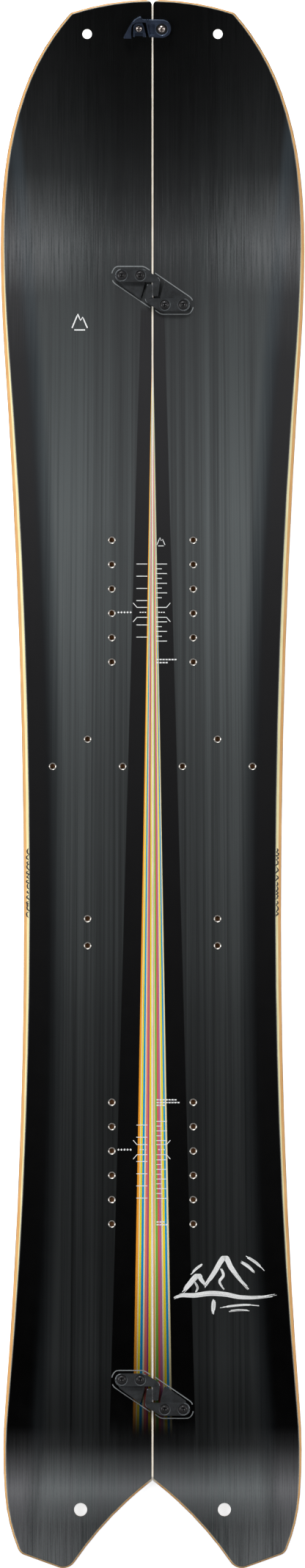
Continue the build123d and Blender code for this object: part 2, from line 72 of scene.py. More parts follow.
def srgb(red, green, blue):
    """A colour as it looks on a screen, 0 to 255, turned into the light values that a shader works in."""
    def channel(value):
        value /= 255.0
        return value / 12.92 if value <= 0.04045 else ((value + 0.055) / 1.055) ** 2.4
    return channel(red), channel(green), channel(blue), 1.0


class Recipe:
    """A material and the few kinds of node that the finishes of this board are mixed from."""

    def __init__(self, name, metallic=0.0, roughness=0.5, specular=0.5):
        self.material = bpy.data.materials.new(name)
        self.material.use_nodes = True
        self.tree = self.material.node_tree
        self.shader = self.tree.nodes["Principled BSDF"]
        self.shader.inputs["Metallic"].default_value = metallic
        self.shader.inputs["Roughness"].default_value = roughness
        self.shader.inputs["Specular IOR Level"].default_value = specular

    def node(self, kind, **settings):
        node = self.tree.nodes.new(kind)
        for key, value in settings.items():
            setattr(node, key, value)
        return node

    def feed(self, socket, source):
        if isinstance(source, bpy.types.NodeSocket):
            self.tree.links.new(source, socket)
        else:
            socket.default_value = source

    def place(self):
        """The point on the piece in millimetres: across, along and up the board."""
        coordinates = self.node("ShaderNodeTexCoord")
        scale = self.node("ShaderNodeVectorMath", operation="SCALE")
        self.feed(scale.inputs[0], coordinates.outputs["Object"])
        scale.inputs["Scale"].default_value = 1000.0
        split = self.node("ShaderNodeSeparateXYZ")
        self.feed(split.inputs[0], scale.outputs[0])
        return split.outputs[0], split.outputs[1], split.outputs[2]

    def sum(self, operation, first, second=0.0, third=0.0, clamp=False):
        node = self.node("ShaderNodeMath", operation=operation, use_clamp=clamp)
        for socket, source in zip(node.inputs, (first, second, third)):
            self.feed(socket, source)
        return node.outputs[0]

    def ramp(self, value, low, high, start=0.0, end=1.0, smooth=False):
        """value between low and high becomes start to end, and stays there outside them."""
        node = self.node("ShaderNodeMapRange", interpolation_type="SMOOTHSTEP" if smooth else "LINEAR")
        names = ("Value", "From Min", "From Max", "To Min", "To Max")
        for key, source in zip(names, (value, low, high, start, end)):
            self.feed(node.inputs[key], source)
        return node.outputs[0]

    def grain(self, across, along, up, per_mm, detail=3.0, roughness=0.6):
        """Noise stretched along the axes: per_mm gives how many features lie in a millimetre each way."""
        vector = self.node("ShaderNodeCombineXYZ")
        for socket, source, rate in zip(vector.inputs, (across, along, up), per_mm):
            self.feed(socket, self.sum("MULTIPLY", source, rate))
        noise = self.node("ShaderNodeTexNoise")
        self.feed(noise.inputs["Vector"], vector.outputs[0])
        noise.inputs["Scale"].default_value = 1.0
        noise.inputs["Detail"].default_value = detail
        noise.inputs["Roughness"].default_value = roughness
        return noise.outputs["Fac"]

    def shades(self, value, stops, interpolation="LINEAR"):
        """A run of colours: stops are (place from 0 to 1, colour)."""
        node = self.node("ShaderNodeValToRGB")
        node.color_ramp.interpolation = interpolation
        elements = node.color_ramp.elements
        for _ in range(len(stops) - 2):
            elements.new(0.5)
        for element, (where, colour) in zip(elements, sorted(stops, key=lambda stop: stop[0])):
            element.position = where
            element.color = colour
        self.feed(node.inputs[0], value)
        return node.outputs["Color"]

    def mix(self, amount, first, second, blend="MIX"):
        node = self.node("ShaderNodeMix", data_type="RGBA", blend_type=blend)
        colours = [socket for socket in node.inputs if socket.type == "RGBA"]
        self.feed(node.inputs[0], amount)
        self.feed(colours[0], first)
        self.feed(colours[1], second)
        return [socket for socket in node.outputs if socket.type == "RGBA"][0]

    def colour(self, source):
        self.feed(self.shader.inputs["Base Color"], source)

    def roughness(self, source):
        self.feed(self.shader.inputs["Roughness"], source)

    def bump(self, height, strength, distance):
        node = self.node("ShaderNodeBump")
        node.inputs["Strength"].default_value = strength
        node.inputs["Distance"].default_value = distance
        self.feed(node.inputs["Height"], height)
        self.feed(self.shader.inputs["Normal"], node.outputs[0])


def dress(part, material):
    """Gives one CAD part or piece its finish."""
    part.data.materials.clear()
    part.data.materials.append(material)


def base_finish():
    recipe = Recipe("ground_base", roughness=0.4, specular=0.35)
    x, y, z = recipe.place()
    structure = recipe.grain(x, y, z, (1.6, 0.004, 0.2), detail=4.0)
    clouds = recipe.grain(x, y, z, (0.02, 0.006, 0.0), detail=3.0)
    worn = recipe.sum("MULTIPLY_ADD", structure, 0.5, recipe.sum("MULTIPLY", clouds, 0.5))
    recipe.colour(recipe.shades(worn, [(0.3, srgb(16, 16, 18)), (0.55, srgb(26, 26, 28)),
                                       (0.8, srgb(44, 44, 46))]))
    recipe.roughness(recipe.ramp(clouds, 0.3, 0.7, 0.3, 0.48))
    recipe.bump(structure, 0.25, 0.0002)
    return recipe.material


ground_base = base_finish()
for side in ("left", "right"):
    dress(nodes[f"{side}_base"], ground_base)

# ------------------------------------------------
# Steel edges. A 2 mm square of hardened steel runs right round each half, outside and along the seam, held
# by a thin flange under the core. The faces are ground lengthwise.
# ------------------------------------------------


def steel_finish(name, tone, rough, along=(0.05, 3.0, 3.0)):
    recipe = Recipe(name, metallic=1.0, roughness=rough)
    x, y, z = recipe.place()
    lines = recipe.grain(x, y, z, along, detail=3.0)
    dark = tuple(0.72 * value for value in tone[:3]) + (1.0,)
    recipe.colour(recipe.shades(lines, [(0.35, dark), (0.65, tone)]))
    recipe.roughness(recipe.ramp(lines, 0.3, 0.7, rough * 0.75, rough * 1.3))
    recipe.bump(lines, 0.15, 0.00005)
    return recipe.material


edge_steel = steel_finish("ground_edge_steel", srgb(196, 196, 198), 0.3, along=(3.0, 0.02, 3.0))
for side in ("left", "right"):
    dress(nodes[f"{side}_outer_edge"], edge_steel)
    dress(nodes[f"{side}_inner_edge"], edge_steel)

# ------------------------------------------------
# Laminates and core. Glass cloth soaked in resin lies above and below a core of glued wood strips. Only the
# cut rim of the upper laminate shows, as a fine grey line along the bevel.
# ------------------------------------------------


def laminate_finish():
    recipe = Recipe("glass_laminate", roughness=0.42)
    x, y, z = recipe.place()
    cloth = recipe.grain(x, y, z, (0.9, 0.9, 2.0), detail=2.0)
    recipe.colour(recipe.shades(cloth, [(0.3, srgb(104, 103, 92)), (0.7, srgb(158, 156, 140))]))
    recipe.bump(cloth, 0.1, 0.00005)
    return recipe.material


def core_finish():
    recipe = Recipe("glued_wood_core", roughness=0.6, specular=0.3)
    x, y, z = recipe.place()
    strip_width = 12.0
    strips = recipe.sum("FRACT", recipe.sum("DIVIDE", x, strip_width))
    grain = recipe.grain(x, y, z, (0.5, 0.01, 0.5), detail=4.0)
    mixed = recipe.sum("MULTIPLY_ADD", strips, 0.3, recipe.sum("MULTIPLY", grain, 0.7))
    recipe.colour(recipe.shades(mixed, [(0.2, srgb(150, 112, 70)), (0.8, srgb(216, 184, 136))]))
    return recipe.material


glass_laminate = laminate_finish()
wood_core = core_finish()
for side in ("left", "right"):
    dress(nodes[f"{side}_lower_laminate"], glass_laminate)
    dress(nodes[f"{side}_upper_laminate"], glass_laminate)
    dress(nodes[f"{side}_core"], wood_core)

# ------------------------------------------------
# Sidewalls. Two layers of phenolic plastic, amber below and pale yellow above, are glued round the core and
# cut back at 45 degrees. The pale layer runs out before the tips. A cream plastic wall closes each half at
# the seam.
# ------------------------------------------------


def sidewall_finish(name, shadow, tone, glow, ends=None):
    """Streaked plastic; ends is its colour where the wall turns away from the seam at the tips."""
    recipe = Recipe(name, roughness=0.36, specular=0.4)
    x, y, z = recipe.place()
    streaks = recipe.grain(x, y, z, (0.4, 0.03, 0.8), detail=4.0)
    machining = recipe.grain(x, y, z, (1.5, 1.5, 6.0), detail=2.0)
    plastic = recipe.shades(streaks, [(0.3, shadow), (0.5, tone), (0.72, glow)])
    if ends:
        plastic = recipe.mix(recipe.ramp(recipe.sum("ABSOLUTE", x), 2.0, 7.0), plastic, ends)
    recipe.colour(plastic)
    recipe.roughness(recipe.ramp(machining, 0.3, 0.7, 0.3, 0.45))
    recipe.bump(machining, 0.12, 0.00008)
    recipe.shader.inputs["Subsurface Weight"].default_value = 0.08
    recipe.shader.inputs["Subsurface Radius"].default_value = (0.002, 0.001, 0.0005)
    return recipe.material


amber_wall = sidewall_finish("amber_sidewall", srgb(196, 140, 72), srgb(210, 156, 86), srgb(222, 172, 104))
pale_wall = sidewall_finish("pale_sidewall", srgb(216, 204, 146), srgb(228, 218, 162), srgb(238, 230, 182))
cream_wall = sidewall_finish("cream_seam_wall", srgb(206, 194, 174), srgb(222, 211, 192), srgb(234, 226, 210),
                             srgb(210, 156, 86))
for side in ("left", "right"):
    dress(nodes[f"{side}_lower_sidewall"], amber_wall)
    dress(nodes[f"{side}_upper_sidewall"], pale_wall)
    dress(nodes[f"{side}_seam_sidewall"], cream_wall)

# ------------------------------------------------
# Topsheets. A satin nylon skin covers each half, printed on its back: dark ground, brushed teal-grey
# streaks, a black wedge along the seam, and in it a narrow fan of coloured veneer stripes that starts behind
# the front hook.
# ------------------------------------------------


def topsheet_finish():
    """The print on the skin, and painted highlight and shade at the turned-up ends, laid out in millimetres
    from the seam and from the middle of the board.
    """
    recipe = Recipe("topsheet_print_and_painted_light", roughness=0.24, specular=0.2)
    x, y, z = recipe.place()
    away = recipe.sum("ABSOLUTE", x)
    tail_end, nose_end = -815.0, 815.0
    along = recipe.ramp(y, tail_end, nose_end)

    def station(where):
        return (where - tail_end) / (nose_end - tail_end)

    def run(levels, tint):
        """Grey levels, 0 to 255, at stations along the board."""
        return recipe.shades(along, [(station(where), srgb(*[value * part for part in tint]))
                                     for where, value in levels])

    def amounts(levels):
        """Plain amounts, 0 to 1, at stations along the board."""
        return recipe.shades(along, [(station(where), (value, value, value, 1.0)) for where, value in levels])

    # the printed ground is charcoal at the front foot and fades to black towards the tail
    # the lighter band near 560 mm and the light tail end past -700 mm, where the nose and the tail turn up,
    # are painted highlight; the darkening out to the nose tip is painted shade
    ground_and_painted_light = run(((815, 13), (740, 14), (700, 17), (660, 22), (620, 33), (590, 46), (560, 58), (545, 54),
                  (520, 48), (480, 48), (433, 48), (330, 45), (230, 39), (128, 33), (0, 28), (-120, 22),
                  (-240, 16),
                  (-330, 12), (-482, 6), (-600, 2), (-672, 3), (-690, 14), (-712, 60), (-735, 98), (-750, 78),
                  (-772, 56), (-790, 60), (-815, 66)), (0.99, 0.99, 1.02))

    # brushed streaks, in broad bands and fine lines, stop 38 mm short of the outer side and follow its curve
    # the streak tone carries the same painted highlight bands near 560 mm and past -700 mm, and the same
    # painted shade out to the nose tip
    streaks = run(((815, 13), (740, 19), (700, 25), (660, 35), (620, 46), (590, 59), (560, 72), (520, 67),
                   (433, 79), (330, 91), (281, 95), (180, 92), (128, 87), (60, 79), (0, 73), (-60, 71),
                   (-120, 67), (-177, 63), (-240, 54), (-330, 46), (-482, 40), (-600, 42), (-650, 33),
                   (-690, 32), (-712, 70), (-735, 102), (-750, 80), (-772, 56), (-790, 60), (-815, 66)),
                  (0.95, 1.0, 1.01))
    waist_half, waist_y, sidecut_radius = 134.2, -142.0, 7500.0
    from_waist = recipe.sum("SUBTRACT", y, waist_y)
    bow = recipe.sum("DIVIDE", recipe.sum("MULTIPLY", from_waist, from_waist), 2.0 * sidecut_radius)
    streak_reach = recipe.sum("SUBTRACT", recipe.sum("ADD", bow, waist_half), away)
    in_streaks = recipe.ramp(streak_reach, 25.0, 40.0, smooth=True)
    lean = recipe.sum("DIVIDE", x, recipe.ramp(y, tail_end, nose_end, 1.1, 0.95))
    broad = recipe.grain(lean, y, z, (0.10, 0.0004, 0.0), detail=2.0)
    middling = recipe.grain(lean, y, z, (0.32, 0.0008, 0.0), detail=1.0)
    fine = recipe.grain(lean, y, z, (1.1, 0.004, 0.0), detail=2.0)
    strength = recipe.sum("ADD", recipe.ramp(broad, 0.32, 0.68, 0.6, 1.1),
                          recipe.ramp(middling, 0.3, 0.7, -0.26, 0.26))
    strength = recipe.sum("ADD", strength, recipe.ramp(fine, 0.3, 0.7, -0.2, 0.2))
    strength = recipe.sum("MULTIPLY", strength, recipe.ramp(away, 15.0, 92.0, 0.5, 1.08, smooth=True))
    streaked_and_painted_light = recipe.mix(recipe.sum("MULTIPLY", strength, in_streaks), ground_and_painted_light, streaks)
    rim = recipe.ramp(streak_reach, 20.0, 34.0, 0.0, 0.5, smooth=True)
    rim = recipe.sum("MULTIPLY", rim, recipe.ramp(streak_reach, 46.0, 36.0, smooth=True))
    rim_tone = run(((560, 66), (433, 52), (230, 42), (0, 27), (-240, 18), (-482, 16), (-640, 22)),
                   (0.88, 1.02, 1.12))
    streaked_and_painted_light = recipe.mix(rim, streaked_and_painted_light, rim_tone)

    # the black wedge either side of the seam has a clean edge, and widens evenly from a point beyond the nose
    wedge_point, wedge_slope = 939.0, 0.0278
    wedge_half = recipe.sum("MULTIPLY", recipe.sum("SUBTRACT", wedge_point, y), wedge_slope)
    in_wedge = recipe.ramp(recipe.sum("SUBTRACT", away, wedge_half), 0.4, -0.4)
    behind_hook = recipe.ramp(y, 500.0, 494.0)
    before_tail = recipe.ramp(y, -700.0, -655.0, smooth=True)
    in_wedge = recipe.sum("MULTIPLY", in_wedge, recipe.sum("MULTIPLY", behind_hook, before_tail))
    print_and_painted_light = recipe.mix(in_wedge, streaked_and_painted_light, ground_and_painted_light)

    # where the nose and the tail turn up, a painted highlight lightens the sheet, most at its sides, and a
    # combed grain runs through it in lighter and darker lines
    kick_highlight_and_grain = amounts(((815, 0.03), (640, 0.1), (600, 0.5), (565, 0.95), (540, 0.7), (510, 0.2), (440, 0.0),
                   (-670, 0.0), (-700, 0.2), (-735, 0.6), (-760, 0.45), (-815, 0.7)))
    speckle = recipe.grain(x, y, z, (1.3, 0.35, 0.0), detail=4.0, roughness=0.75)
    comb = recipe.grain(x, y, z, (0.9, 0.012, 0.0), detail=3.0, roughness=0.75)
    combed = recipe.sum("ADD", recipe.ramp(speckle, 0.3, 0.7, -0.22, 0.22),
                        recipe.ramp(comb, 0.3, 0.7, -0.8, 0.8))
    sides = recipe.ramp(away, 30.0, 125.0, -0.05, 0.42, smooth=True)
    painted_kick_highlight = recipe.sum("MULTIPLY", kick_highlight_and_grain, recipe.sum("ADD", sides, recipe.sum("MULTIPLY", combed, 0.32)))
    # the pale grey mixed in here is the painted highlight
    print_and_painted_light = recipe.mix(recipe.sum("MULTIPLY", painted_kick_highlight, 1.0, clamp=True), print_and_painted_light, srgb(124, 126, 128))
    darken = recipe.sum("MULTIPLY", recipe.sum("MULTIPLY", kick_highlight_and_grain, combed), -0.55, clamp=True)
    print_and_painted_light = recipe.mix(darken, print_and_painted_light, srgb(16, 18, 20))

    # veneer stripes: each starts at this share of the fan's half width, counted from the left
    orange, cream, yellow = srgb(242, 160, 48), srgb(240, 228, 180), srgb(244, 222, 40)
    blue, salmon, purple = srgb(20, 150, 208), srgb(226, 116, 110), srgb(156, 70, 136)
    white, peach, green = srgb(246, 234, 206), srgb(236, 168, 76), srgb(118, 184, 72)
    red, lilac = srgb(228, 92, 94), srgb(180, 108, 152)
    stripes = ((-1.0, orange), (-0.86, cream), (-0.80, yellow), (-0.68, blue), (-0.54, cream),
               (-0.46, salmon), (-0.32, purple), (-0.23, yellow), (-0.10, white), (0.05, peach), (0.13, cream),
               (0.18, green), (0.32, red), (0.42, lilac), (0.55, cream), (0.64, yellow), (0.76, blue),
               (0.89, cream))
    fan_point, fan_slope = 484.0, 0.0178
    fan_half = recipe.sum("MULTIPLY", recipe.sum("SUBTRACT", fan_point, y), fan_slope)
    share = recipe.sum("DIVIDE", x, recipe.sum("MAXIMUM", fan_half, 0.001))
    laid = [((start + 1.0) / 2.0, tone) for start, tone in stripes]
    veneer = recipe.shades(recipe.ramp(share, -1.0, 1.0), laid, "CONSTANT")
    fibres = recipe.grain(x, y, z, (2.2, 0.02, 0.0), detail=4.0, roughness=0.7)
    fibre_depth = recipe.ramp(y, 100.0, -480.0, 0.05, 0.32)
    veneer = recipe.mix(recipe.sum("MULTIPLY", recipe.ramp(fibres, 0.45, 0.72), fibre_depth), veneer,
                        srgb(120, 70, 50), "MULTIPLY")
    fading = amounts(((-480, 0.0), (-545, 0.38), (-600, 0.7), (-640, 0.89), (-680, 1.0)))
    veneer = recipe.mix(fading, veneer, srgb(3, 3, 4))
    in_fan = recipe.ramp(recipe.sum("SUBTRACT", away, fan_half), 0.25, -0.25)
    in_fan = recipe.sum("MULTIPLY", in_fan, recipe.ramp(y, -690.0, -650.0, smooth=True))
    recipe.colour(recipe.mix(in_fan, print_and_painted_light, veneer))

    satin = recipe.grain(x, y, z, (0.05, 0.05, 0.0), detail=3.0)
    recipe.roughness(recipe.ramp(satin, 0.3, 0.7, 0.2, 0.27))
    recipe.bump(recipe.grain(x, y, z, (2.5, 0.08, 0.0), detail=2.0), 0.03, 0.00003)
    return recipe.material


topsheet_print_and_painted_light = topsheet_finish()
for side in ("left", "right"):
    dress(nodes[f"{side}_topsheet"], topsheet_print_and_painted_light)

# ------------------------------------------------
# Printed marks. White ink on the skin: a scale of ticks for the stance at each foot, small plain badges, a
# brush flourish, thin grey lines round the hooks, and a dark squiggle on each sidewall. The films stand at
# most 0.2 mm proud.
# ------------------------------------------------


def skin_of(parts, from_above=True):
    """Gives height(x, y) in millimetres: where these parts are first met from above, or from below."""
    points, faces = [], []
    for part in parts:
        start = len(points)
        points += [part.matrix_world @ vertex.co * 1000.0 for vertex in part.data.vertices]
        faces += [[start + corner for corner in polygon.vertices] for polygon in part.data.polygons]
    tree = BVHTree.FromPolygons(points, faces)
    aim, far_off = Vector((0.0, 0.0, -1.0 if from_above else 1.0)), 500.0

    def height(x, y):
        # a ray can slip through where two faces meet, so it is tried again just beside
        for nudge in (0.0, 0.07, -0.11):
            place = tree.ray_cast(Vector((x + nudge, y + nudge, 0.0)) - aim * far_off, aim)[0]
            if place:
                return place.z
        return None
    return height


top_layers = ("topsheet", "seam_sidewall", "lower_sidewall", "upper_sidewall", "upper_laminate")
deck = skin_of([nodes[f"{side}_{layer}"] for side in ("left", "right") for layer in top_layers])
belly = skin_of([nodes[f"{side}_{layer}"] for side in ("left", "right")
                 for layer in ("base", "inner_edge", "outer_edge")], from_above=False)


def finished(name, shape, material, body, replaced=(), smooth=40.0, wear_and_edge_highlight=None):
    """Turns a shape in millimetres into a piece on a body; its second finish, if given, is a painted highlight
    on the slanting edges.
    """
    bmesh.ops.scale(shape, vec=(0.001, 0.001, 0.001), verts=shape.verts)
    bmesh.ops.recalc_face_normals(shape, faces=shape.faces)
    mesh = bpy.data.meshes.new(name)
    shape.to_mesh(mesh)
    shape.free()
    for polygon in mesh.polygons:
        polygon.use_smooth = True
    mesh.set_sharp_from_angle(angle=math.radians(smooth))
    part = bpy.data.objects.new(name, mesh)
    bpy.context.scene.collection.objects.link(part)
    dress(part, material)
    if wear_and_edge_highlight:
        # the slanting faces of the rounded edges take the second, lighter finish: a painted highlight
        mesh.materials.append(wear_and_edge_highlight)
        steepest, flattest = 0.25, 0.93
        for polygon in mesh.polygons:
            if steepest < polygon.normal.z < flattest:
                polygon.material_index = 1
    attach(part, body)
    if replaced:
        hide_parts(*replaced)
    return part


def ribbon(shape, points, widths, film=0.05):
    """Lays a thin strip on the deck along the points; widths has one width, or one for each point."""
    if isinstance(widths, (int, float)):
        widths = [widths] * len(points)
    track, longest_step = [], 2.5
    for (start, start_width), (end, end_width) in zip(zip(points, widths), zip(points[1:], widths[1:])):
        steps = max(1, int(math.dist(start, end) / longest_step))
        for i in range(steps):
            share = i / steps
            width = start_width + (end_width - start_width) * share
            track.append((Vector(start).lerp(Vector(end), share), width))
    track.append((Vector(points[-1]), widths[-1]))
    rows = []
    for i, (place, width) in enumerate(track):
        heading = (track[min(i + 1, len(track) - 1)][0] - track[max(i - 1, 0)][0]).normalized()
        aside = Vector((-heading.y, heading.x)) * width / 2
        rims = [(rim, deck(rim.x, rim.y)) for rim in (place + aside, place - aside)]
        if any(height is None for rim, height in rims):
            rows.append(None)
        else:
            rows.append([shape.verts.new((rim.x, rim.y, height + film)) for rim, height in rims])
    for one, other in zip(rows, rows[1:]):
        if one and other:
            shape.faces.new((one[0], one[1], other[1], other[0]))


def patch(shape, corners, film=0.05):
    """Lays a small flat-sided film on the deck."""
    shape.faces.new([shape.verts.new((x, y, deck(x, y) + film)) for x, y in corners])


def ink_finish(name, thin, full, rough):
    recipe = Recipe(name, roughness=rough, specular=0.3)
    x, y, z = recipe.place()
    cover = recipe.grain(x, y, z, (1.2, 0.9, 0.0), detail=4.0, roughness=0.7)
    recipe.colour(recipe.shades(cover, [(0.32, thin), (0.52, full)]))
    recipe.roughness(recipe.ramp(cover, 0.3, 0.7, rough * 0.85, rough * 1.2))
    return recipe.material


white_ink = ink_finish("white_ink", srgb(206, 208, 208), srgb(240, 241, 241), 0.4)
grey_ink = ink_finish("grey_line_ink", srgb(98, 102, 104), srgb(138, 142, 144), 0.4)
dark_ink = ink_finish("dark_sidewall_ink", srgb(38, 30, 22), srgb(24, 19, 15), 0.5)


def dashes(marks, count, x, y, pitch, length, width):
    """A row of short dashes, the first of which starts at x."""
    for i in range(count):
        ribbon(marks, [(x + pitch * i, y), (x + length + pitch * i, y)], width)


def lozenge(marks, x, y, reach):
    patch(marks, [(x - reach, y), (x, y - reach), (x + reach, y), (x, y + reach)])


def mountain_badge(marks, x, y, size):
    """Two plain peaks over a ground line; size is half the badge's width."""
    peaks = ((-1.0, -0.8), (-0.25, 1.0), (0.1, 0.2), (0.4, 0.6), (1.0, -0.8))
    ribbon(marks, [(x + size * across, y + size * up) for across, up in peaks], size * 0.17)
    ribbon(marks, [(x - size * 0.7, y - size * 1.05), (x + size * 0.7, y - size * 1.05)], size * 0.17)


# each scale misses the ticks where its middle is marked; half inches stand left of the seam, 5 mm steps right
half_inch, half_centimetre, tick_width = 12.7, 5.02, 0.75
inch_tick, bracket_tick, short_tick, long_tick = -16.8, -16.2, 9.7, 15.1
left_edge, right_edge, bracket_near, bracket_far = -5.4, 4.0, 5.2, 9.8
dash_pitch, dash_length, dash_width = 2.6, 1.6, 1.1
note_pitch, note_length, note_width = 3.1, 2.3, 1.3
stances = (("front", 230.3, 230.3, 179.9, (0, 1, 2, 3, 5, 6), [*range(8), *range(12, 17)],
            ((130.7, 7), (127.5, 4))),
           ("rear", -354.4, -350.5, -380.1, (0, 1, 3, 4, 5, 6), [*range(5), *range(8, 17)],
            ((-328.1, 7), (-331.0, 8), (-333.8, 3), (-455.5, 3), (-458.4, 4))))
for name, inch_top, centimetre_top, middle, inch_ticks, centimetre_ticks, notes in stances:
    left_marks, right_marks = bmesh.new(), bmesh.new()
    for step in inch_ticks:
        y = inch_top - step * half_inch
        ribbon(left_marks, [(inch_tick, y), (left_edge, y)], tick_width)
    for step in centimetre_ticks:
        y = centimetre_top - step * half_centimetre
        ribbon(right_marks, [(right_edge, y), (long_tick if step % 2 == 0 else short_tick, y)], tick_width)
    for up in (1, -1):
        near, far = middle + up * bracket_near, middle + up * bracket_far
        ribbon(left_marks, [(-20.2, far), (bracket_tick, near), (left_edge, near)], tick_width)
        ribbon(right_marks, [(right_edge, near), (14.6, near), (18.6, far)], tick_width)
    for i in range(5):
        lozenge(left_marks, -35.6 + 3.2 * i, middle, 1.2)
    dashes(left_marks, 3, -13.4, middle, dash_pitch, dash_length, dash_width)
    dashes(right_marks, 3, 6.0, middle, dash_pitch, dash_length, dash_width)
    for y, count in notes:
        dashes(right_marks, count, 4.2, y, note_pitch, note_length, note_width)
    if name == "front":
        mountain_badge(left_marks, -76.0, 482.8, 8.0)
        mountain_badge(right_marks, 8.8, 253.6, 4.2)
    finished(f"{name}_inch_scale", left_marks, white_ink, "left_half")
    finished(f"{name}_centimetre_scale", right_marks, white_ink, "right_half")

# the flourish: each stroke is laid down by a brush of many bristles that lift off at different places
chance = random.Random(7)


def along_stroke(path, share):
    """A place on the smooth curve through the points, and where it heads; share runs from 0 to 1."""
    spot = share * (len(path) - 1)
    k = min(int(spot), len(path) - 2)
    before, start, end, after = [Vector(path[max(0, min(len(path) - 1, k + n))]) for n in (-1, 0, 1, 2)]
    t = spot - k
    place = 0.5 * (2 * start + (end - before) * t + (2 * before - 5 * start + 4 * end - after) * t * t
                   + (3 * start - before - 3 * end + after) * t ** 3)
    return place, (end - start).normalized()


def brush(shape, path, breadth, film):
    """One stroke, of bristles that start and lift off at their own places, each a hair above the last."""
    bristles, steps = int(breadth * 2.4), 40
    for bristle in range(bristles):
        offset = (bristle / (bristles - 1) - 0.5) * breadth
        edge = abs(offset) * 2 / breadth
        skip, lift = chance.uniform(0.0, 0.10 + 0.1 * edge), chance.uniform(0.0, 0.16 + 0.2 * edge)
        dense = []
        for i in range(steps + 1):
            share = skip + (1 - skip - lift) * i / steps
            place, heading = along_stroke(path, share)
            swell = 0.55 + 0.45 * math.sin(math.pi * min(1.0, share * 1.15))
            place += Vector((-heading.y, heading.x)) * offset * swell
            dense.append((place.x, place.y))
        ribbon(shape, dense, chance.uniform(0.32, 0.6), film=film + 0.0004 * bristle)


flourish = bmesh.new()
strokes = (([(22, -535), (30, -532), (44, -532), (60, -530), (76, -531), (92, -534), (112, -534),
             (131, -531)], 4.6),
           ([(31, -529), (38, -521), (47, -511.5), (52, -517), (57, -523)], 5.2),
           ([(54, -524), (64, -509), (75, -492.5), (82, -503), (90, -514), (101, -526)], 5.0),
           ([(71, -503), (74, -511), (70, -518), (75, -526)], 2.6),
           ([(44, -518), (47, -524), (45, -529)], 2.0),
           ([(64, -536), (63.5, -544), (63, -552)], 4.0),
           ([(92, -497), (100, -502), (107, -509)], 3.0),
           ([(97, -491), (108, -498), (117, -507)], 2.4),
           ([(53, -499), (46, -504), (39, -511)], 2.2),
           ([(70, -545), (84, -543), (98, -542), (112, -543)], 1.8),
           ([(78, -549), (90, -547.5), (102, -548)], 1.6))
for layer, (path, breadth) in enumerate(strokes, 1):
    brush(flourish, path, breadth, 0.03 + 0.012 * layer)
finished("brush_flourish", flourish, white_ink, "right_half")

hook_middles = {}
for name in ("front", "rear"):
    low_corner, high_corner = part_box(f"left_{name}_hook")
    other_low, other_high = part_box(f"right_{name}_hook")
    hook_middles[name] = (min(low_corner[1], other_low[1]) + max(high_corner[1], other_high[1])) * 500.0
upper_line = ((-42.4, 17.6), (-41.9, 19.6), (-40.9, 21.6), (-39.4, 23.5), (-37.6, 24.6), (-35.4, 25),
              (-11, 25), (-9, 24.6), (-7.2, 23.8), (-2.8, 20.9))
lower_line = ((-41.6, 10.6), (-41.2, 9.2), (-40.2, 7.9), (-38.6, 6.5), (-2.6, -18.1))
for name, middle in hook_middles.items():
    for side, turn in (("left", 1), ("right", -1)):
        lines = bmesh.new()
        for path in (upper_line, lower_line):
            ribbon(lines, [(turn * x, middle + turn * y) for x, y in path], 1.0)
        finished(f"{side}_{name}_hook_line", lines, grey_ink, f"{side}_half")

# the squiggle runs along the bevel in one wavering line, each bend as long and as wide as chance makes it
bevel_x, squiggle_start, squiggle_end, steps = 130.2, -66.0, -133.0, 8
for side, turn in (("left", -1), ("right", 1)):
    squiggle = bmesh.new()
    y = squiggle_start
    while y > squiggle_end:
        length, swing = chance.uniform(3.0, 8.0), chance.uniform(0.8, 2.6)
        path = [(turn * (bevel_x + swing * math.sin(math.pi * (i / steps * chance.uniform(0.9, 1.5)))
                         - swing / 2), y - length * i / steps) for i in range(steps + 1)]
        widths = [0.3 + 1.3 * math.sin(math.pi * i / steps) ** 0.7 for i in range(steps + 1)]
        ribbon(squiggle, path, widths, film=0.08)
        y -= length + chance.uniform(-1.5, 1.2)
    finished(f"{side}_sidewall_squiggle", squiggle, dark_ink, f"{side}_half")

# ------------------------------------------------
# Inserts. Turned stainless barrels with a tapped M6 bore, a coned mouth just under the skin and a flange
# that is trapped below the core. Bindings, touring brackets and heel rests screw into them.
# ------------------------------------------------
insert_steel = steel_finish("stainless_insert", srgb(238, 234, 226), 0.3, along=(0.6, 0.6, 0.6))
shaded_thread = steel_finish("thread_painted_shade", srgb(172, 124, 84), 0.45, along=(0.6, 0.6, 3.0))
mouth_radius = 3.5


def lathe(shape, profile, x, y, z, segments=40):
    """Adds a round piece: profile lists (radius, height) along its skin, heights counted from z."""
    rings = []
    for radius, height in profile:
        count = segments if radius > 0 else 1
        rings.append([shape.verts.new((x + radius * math.cos(2 * math.pi * k / segments),
                                       y + radius * math.sin(2 * math.pi * k / segments), z + height))
                      for k in range(count)])
    for lower, upper in zip(rings, rings[1:]):
        for k in range(segments):
            corners = (lower[k % len(lower)], lower[(k + 1) % len(lower)],
                       upper[(k + 1) % len(upper)], upper[k % len(upper)])
            corners = list(dict.fromkeys(corners))
            if len(corners) > 2:
                shape.faces.new(corners)


def insert_profile(height):
    """Skin of a barrel this tall, from the middle of its foot round to the floor of its tapped hole."""
    flange, flange_top, barrel, tap, crest, pitch = 7.0, 1.0, 3.9, 3.0, 2.5, 0.8
    level = height - 1.0
    profile = [(0, 0), (flange - 0.2, 0), (flange, 0.2), (flange, flange_top - 0.2),
               (flange - 0.2, flange_top), (barrel, flange_top), (barrel, height - 0.15),
               (barrel - 0.12, height), (mouth_radius + 0.1, height), (mouth_radius, height - 0.08),
               (crest + 0.4, height - 0.55), (crest, level)]
    while level - pitch > flange_top + 0.4:
        profile += [(tap, level - pitch / 2), (crest, level - pitch)]
        level -= pitch
    return profile + [(crest, flange_top + 0.1), (0, flange_top)]


